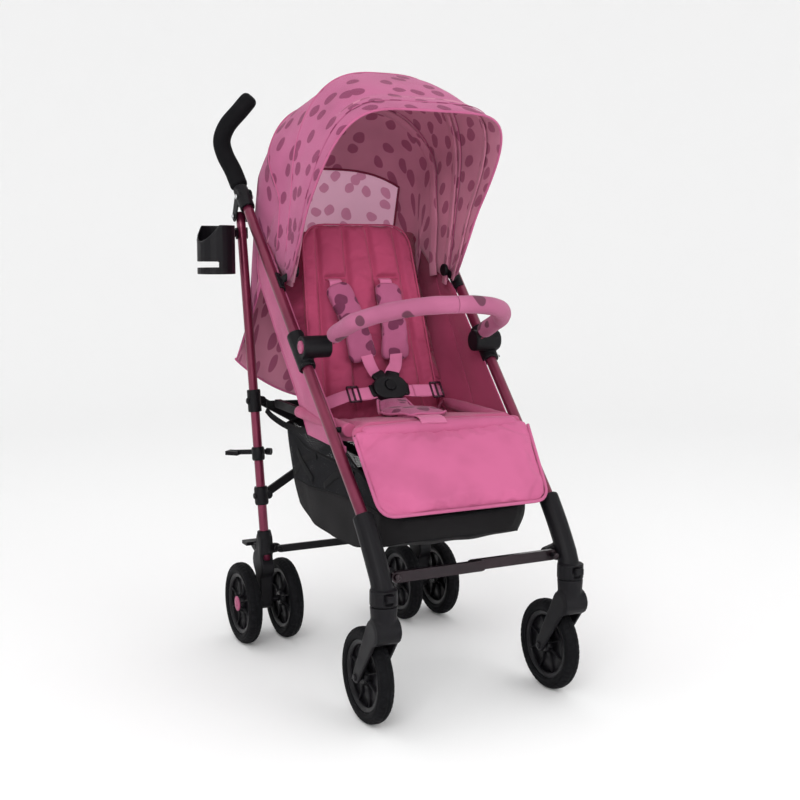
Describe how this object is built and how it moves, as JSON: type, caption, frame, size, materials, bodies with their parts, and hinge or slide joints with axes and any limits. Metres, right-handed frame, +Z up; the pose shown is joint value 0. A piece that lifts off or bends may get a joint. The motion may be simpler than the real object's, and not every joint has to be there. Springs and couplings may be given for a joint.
{
  "type": "baby stroller",
  "caption": "Umbrella-fold baby stroller with a hooped canopy, reclining padded seat, calf rest, bumper bar, under-seat basket, swivelling front casters and twin rear wheels.",
  "frame": {"origin": "on the floor under the centre of the object's box, without tilt", "axes": "+Z up, -Y towards the front casters, +X towards the child's left"},
  "size_m": [0.5386, 0.68, 1.0935],
  "materials": {
    "plum_metal": "gloss metallic plum paint",
    "black_plastic": "satin moulded",
    "black_rubber": "matt foam rubber",
    "black_foam": "matt foam",
    "black_fabric": "woven",
    "black_mesh": "open mesh",
    "pink_fabric": "fine woven polyester",
    "pink_print": "printed with plum spots",
    "pink_lining": "thin printed lining",
    "pink_webbing": "woven webbing",
    "pink_plastic": "satin moulded",
    "bright_steel": "rivet heads"
  },
  "bodies": {
    "seat": {"seat_base": "pink_fabric", "basket": "black_fabric", "canopy_rear": "pink_print", "buckle": "black_plastic"},
    "backrest": {"backrest": "pink_fabric", "harness": "pink_print"},
    "buckle_button": {"buckle_button": "black_plastic"},
    "calf_pad": {"calf_pad": "pink_fabric"},
    "canopy_front": {"canopy_front": "pink_print"},
    "canopy_mid": {"canopy_mid": "pink_print"},
    "fold_lever": {"fold_lever": "black_plastic"},
    "side_left": {"front_tube_left": "plum_metal", "handle_joint_left": "black_plastic", "handle_grip_left": "black_foam", "caster_housing_left": "black_plastic", "bumper_clamp_left": "black_plastic", "canopy_clip_left": "black_plastic"},
    "rear_leg_left": {"rear_leg_left": "plum_metal", "rear_housing_left": "black_plastic"},
    "swivel_lock_left": {"swivel_lock_left": "black_plastic"},
    "brake_pedal_left": {"brake_pedal_left": "black_plastic"},
    "brace_slider_left": {"brace_slider_left": "black_plastic"},
    "brace_bar_left": {"brace_bar_left": "black_plastic"},
    "front_crossbar_left": {"front_crossbar_left": "plum_metal"},
    "rear_crossbar_left": {"rear_crossbar_left": "black_plastic"},
    "seat_rail_left": {"seat_rail_left": "black_plastic"},
    "bumper_button_left": {"bumper_button_left": "pink_plastic"},
    "bumper_half_left": {"bumper_half_left": "pink_print"},
    "caster_left": {"caster_fork_left": "black_plastic"},
    "front_wheel_left": {"front_wheel_left_tyre": "black_rubber", "front_wheel_left_rim": "black_plastic"},
    "rear_outer_wheel_left": {"rear_outer_wheel_left_tyre": "black_rubber", "rear_outer_wheel_left_rim": "black_plastic"},
    "rear_inner_wheel_left": {"rear_inner_wheel_left_tyre": "black_rubber", "rear_inner_wheel_left_rim": "black_plastic"},
    "side_right": {"front_tube_right": "plum_metal", "handle_joint_right": "black_plastic", "handle_grip_right": "black_foam", "caster_housing_right": "black_plastic", "bumper_clamp_right": "black_plastic", "canopy_clip_right": "black_plastic"},
    "rear_leg_right": {"rear_leg_right": "plum_metal", "rear_housing_right": "black_plastic", "cup_holder": "black_plastic"},
    "swivel_lock_right": {"swivel_lock_right": "black_plastic"},
    "brake_pedal_right": {"brake_pedal_right": "black_plastic"},
    "brace_slider_right": {"brace_slider_right": "black_plastic"},
    "brace_bar_right": {"brace_bar_right": "black_plastic"},
    "front_crossbar_right": {"front_crossbar_right": "plum_metal"},
    "rear_crossbar_right": {"rear_crossbar_right": "black_plastic"},
    "seat_rail_right": {"seat_rail_right": "black_plastic"},
    "bumper_button_right": {"bumper_button_right": "pink_plastic"},
    "bumper_half_right": {"bumper_half_right": "pink_print"},
    "caster_right": {"caster_fork_right": "black_plastic"},
    "front_wheel_right": {"front_wheel_right_tyre": "black_rubber", "front_wheel_right_rim": "black_plastic"},
    "rear_outer_wheel_right": {"rear_outer_wheel_right_tyre": "black_rubber", "rear_outer_wheel_right_rim": "black_plastic"},
    "rear_inner_wheel_right": {"rear_inner_wheel_right_tyre": "black_rubber", "rear_inner_wheel_right_rim": "black_plastic"}
  },
  "joints": [
    {"name": "fold", "type": "slide", "parent": "seat", "child": "side_left", "axis": [-1, 0, 0], "range_m": [0, 0.105], "deforming": ["seat_base", "basket", "canopy_rear", "canopy_mid", "canopy_front", "backrest", "harness", "calf_pad"]},
    {"name": "fold_right", "type": "slide", "parent": "seat", "child": "side_right", "axis": [1, 0, 0], "range_m": [0, 0.105]},
    {"name": "rear_leg_fold_left", "type": "hinge", "parent": "side_left", "child": "rear_leg_left", "pos_m": [0.22566, 0.27801, 0.838], "axis": [-1, 0, 0], "range_deg": [0, 30]},
    {"name": "brace_slide_left", "type": "slide", "parent": "rear_leg_left", "child": "brace_slider_left", "axis": [0.0323, 0.083, 0.996], "range_m": [0, 0.1725]},
    {"name": "brace_bar_fold_left", "type": "hinge", "parent": "rear_leg_left", "child": "brace_bar_left", "pos_m": [0.19366, 0.2326, 0.293], "axis": [0, 0.9965, -0.083], "range_deg": [0, 41.95]},
    {"name": "rear_crossbar_fold_left", "type": "hinge", "parent": "rear_leg_left", "child": "rear_crossbar_left", "pos_m": [0.18066, 0.22376, 0.187], "axis": [0, 0.9965, -0.083], "range_deg": [0, 71.99]},
    {"name": "front_crossbar_fold_left", "type": "hinge", "parent": "side_left", "child": "front_crossbar_left", "pos_m": [0.18066, -0.29599, 0.254], "axis": [0, 1, 0], "range_deg": [0, 71.99]},
    {"name": "seat_rail_fold_left", "type": "hinge", "parent": "side_left", "child": "seat_rail_left", "pos_m": [0.18366, -0.11999, 0.4696], "axis": [1, 0, 0], "range_deg": [0, 34.7]},
    {"name": "bumper_fold_left", "type": "hinge", "parent": "side_left", "child": "bumper_half_left", "pos_m": [0.17866, -0.03399, 0.618], "axis": [0, 0.321, 0.9471], "range_deg": [0, 29.5]},
    {"name": "bumper_release_left", "type": "slide", "parent": "side_left", "child": "bumper_button_left", "axis": [-1, 0, 0], "range_m": [0, 0.003], "stiffness_N_per_m": 300},
    {"name": "caster_swivel_left", "type": "hinge", "parent": "side_left", "child": "caster_left", "pos_m": [0.20766, -0.30999, 0.214], "axis": [0, 0, 1], "continuous": true},
    {"name": "swivel_lock_slide_left", "type": "slide", "parent": "side_left", "child": "swivel_lock_left", "axis": [0, 0, -1], "range_m": [0, 0.006]},
    {"name": "front_wheel_spin_left", "type": "hinge", "parent": "caster_left", "child": "front_wheel_left", "pos_m": [0.20766, -0.24999, 0.08], "axis": [1, 0, 0], "continuous": true},
    {"name": "rear_outer_wheel_spin_left", "type": "hinge", "parent": "rear_leg_left", "child": "rear_outer_wheel_left", "pos_m": [0.24766, 0.23501, 0.08], "axis": [1, 0, 0], "continuous": true},
    {"name": "rear_inner_wheel_spin_left", "type": "hinge", "parent": "rear_leg_left", "child": "rear_inner_wheel_left", "pos_m": [0.16166, 0.23501, 0.08], "axis": [1, 0, 0], "continuous": true},
    {"name": "brake_press_left", "type": "hinge", "parent": "rear_leg_left", "child": "brake_pedal_left", "pos_m": [0.20466, 0.26201, 0.182], "axis": [-1, 0, 0], "range_deg": [0, 18]},
    {"name": "rear_leg_fold_right", "type": "hinge", "parent": "side_right", "child": "rear_leg_right", "pos_m": [-0.16834, 0.27801, 0.838], "axis": [-1, 0, 0], "range_deg": [0, 30]},
    {"name": "brace_slide_right", "type": "slide", "parent": "rear_leg_right", "child": "brace_slider_right", "axis": [-0.0323, 0.083, 0.996], "range_m": [0, 0.1725]},
    {"name": "brace_bar_fold_right", "type": "hinge", "parent": "rear_leg_right", "child": "brace_bar_right", "pos_m": [-0.13634, 0.2326, 0.293], "axis": [0, -0.9965, 0.083], "range_deg": [0, 41.95]},
    {"name": "rear_crossbar_fold_right", "type": "hinge", "parent": "rear_leg_right", "child": "rear_crossbar_right", "pos_m": [-0.12334, 0.22376, 0.187], "axis": [0, -0.9965, 0.083], "range_deg": [0, 71.99]},
    {"name": "front_crossbar_fold_right", "type": "hinge", "parent": "side_right", "child": "front_crossbar_right", "pos_m": [-0.12334, -0.29599, 0.254], "axis": [0, -1, 0], "range_deg": [0, 71.99]},
    {"name": "seat_rail_fold_right", "type": "hinge", "parent": "side_right", "child": "seat_rail_right", "pos_m": [-0.12634, -0.11999, 0.4696], "axis": [1, 0, 0], "range_deg": [0, 34.7]},
    {"name": "bumper_fold_right", "type": "hinge", "parent": "side_right", "child": "bumper_half_right", "pos_m": [-0.12134, -0.03399, 0.618], "axis": [0, -0.321, -0.9471], "range_deg": [0, 29.5]},
    {"name": "bumper_release_right", "type": "slide", "parent": "side_right", "child": "bumper_button_right", "axis": [1, 0, 0], "range_m": [0, 0.003], "stiffness_N_per_m": 300},
    {"name": "caster_swivel_right", "type": "hinge", "parent": "side_right", "child": "caster_right", "pos_m": [-0.15034, -0.30999, 0.214], "axis": [0, 0, 1], "continuous": true},
    {"name": "swivel_lock_slide_right", "type": "slide", "parent": "side_right", "child": "swivel_lock_right", "axis": [0, 0, -1], "range_m": [0, 0.006]},
    {"name": "front_wheel_spin_right", "type": "hinge", "parent": "caster_right", "child": "front_wheel_right", "pos_m": [-0.15034, -0.24999, 0.08], "axis": [1, 0, 0], "continuous": true},
    {"name": "rear_outer_wheel_spin_right", "type": "hinge", "parent": "rear_leg_right", "child": "rear_outer_wheel_right", "pos_m": [-0.19034, 0.23501, 0.08], "axis": [1, 0, 0], "continuous": true},
    {"name": "rear_inner_wheel_spin_right", "type": "hinge", "parent": "rear_leg_right", "child": "rear_inner_wheel_right", "pos_m": [-0.10434, 0.23501, 0.08], "axis": [1, 0, 0], "continuous": true},
    {"name": "brake_press_right", "type": "hinge", "parent": "rear_leg_right", "child": "brake_pedal_right", "pos_m": [-0.14734, 0.26201, 0.182], "axis": [-1, 0, 0], "range_deg": [0, 18]},
    {"name": "fold_lever_press", "type": "hinge", "parent": "rear_leg_right", "child": "fold_lever", "pos_m": [-0.13134, 0.25401, 0.376], "axis": [-0.726, -0.6877, 0], "range_deg": [0, 20], "stiffness_Nm_per_rad": 0.6},
    {"name": "recline", "type": "hinge", "parent": "seat", "child": "backrest", "pos_m": [0.02866, 0.06601, 0.446], "axis": [-1, 0, 0], "range_deg": [0, 40], "deforming": ["canopy_rear", "harness"]},
    {"name": "calf_tilt", "type": "hinge", "parent": "seat", "child": "calf_pad", "pos_m": [0.02866, -0.18199, 0.47], "axis": [-1, 0, 0], "range_deg": [0, 50]},
    {"name": "canopy_tilt", "type": "hinge", "parent": "seat", "child": "canopy_front", "pos_m": [0.02866, 0.09901, 0.735], "axis": [-1, 0, 0], "range_deg": [0, 34], "deforming": ["canopy_front", "canopy_mid", "canopy_rear"]},
    {"name": "canopy_mid_tilt", "type": "hinge", "parent": "seat", "child": "canopy_mid", "pos_m": [0.02866, 0.09901, 0.735], "axis": [-1, 0, 0], "range_deg": [0, 17]},
    {"name": "buckle_press", "type": "slide", "parent": "seat", "child": "buckle_button", "axis": [0, 0.8776, -0.4794], "range_m": [0, 0.003], "stiffness_N_per_m": 300}
  ],
  "couplings": [
    {"joint": "fold_right", "follows": "fold", "ratio": 1},
    {"joint": "rear_leg_fold_left", "follows": "fold", "rad_per_m": 4.9867},
    {"joint": "brace_slide_left", "follows": "fold", "ratio": 1.6429},
    {"joint": "brace_bar_fold_left", "follows": "fold", "rad_per_m": 6.973},
    {"joint": "rear_crossbar_fold_left", "follows": "fold", "rad_per_m": 11.966},
    {"joint": "front_crossbar_fold_left", "follows": "fold", "rad_per_m": 11.966},
    {"joint": "seat_rail_fold_left", "follows": "fold", "rad_per_m": 5.7679},
    {"joint": "bumper_fold_left", "follows": "fold", "rad_per_m": 4.9035},
    {"joint": "rear_leg_fold_right", "follows": "fold", "rad_per_m": 4.9867},
    {"joint": "brace_slide_right", "follows": "fold", "ratio": 1.6429},
    {"joint": "brace_bar_fold_right", "follows": "fold", "rad_per_m": 6.973},
    {"joint": "rear_crossbar_fold_right", "follows": "fold", "rad_per_m": 11.966},
    {"joint": "front_crossbar_fold_right", "follows": "fold", "rad_per_m": 11.966},
    {"joint": "seat_rail_fold_right", "follows": "fold", "rad_per_m": 5.7679},
    {"joint": "bumper_fold_right", "follows": "fold", "rad_per_m": 4.9035},
    {"joint": "canopy_mid_tilt", "follows": "canopy_tilt", "ratio": 0.5}
  ]
}
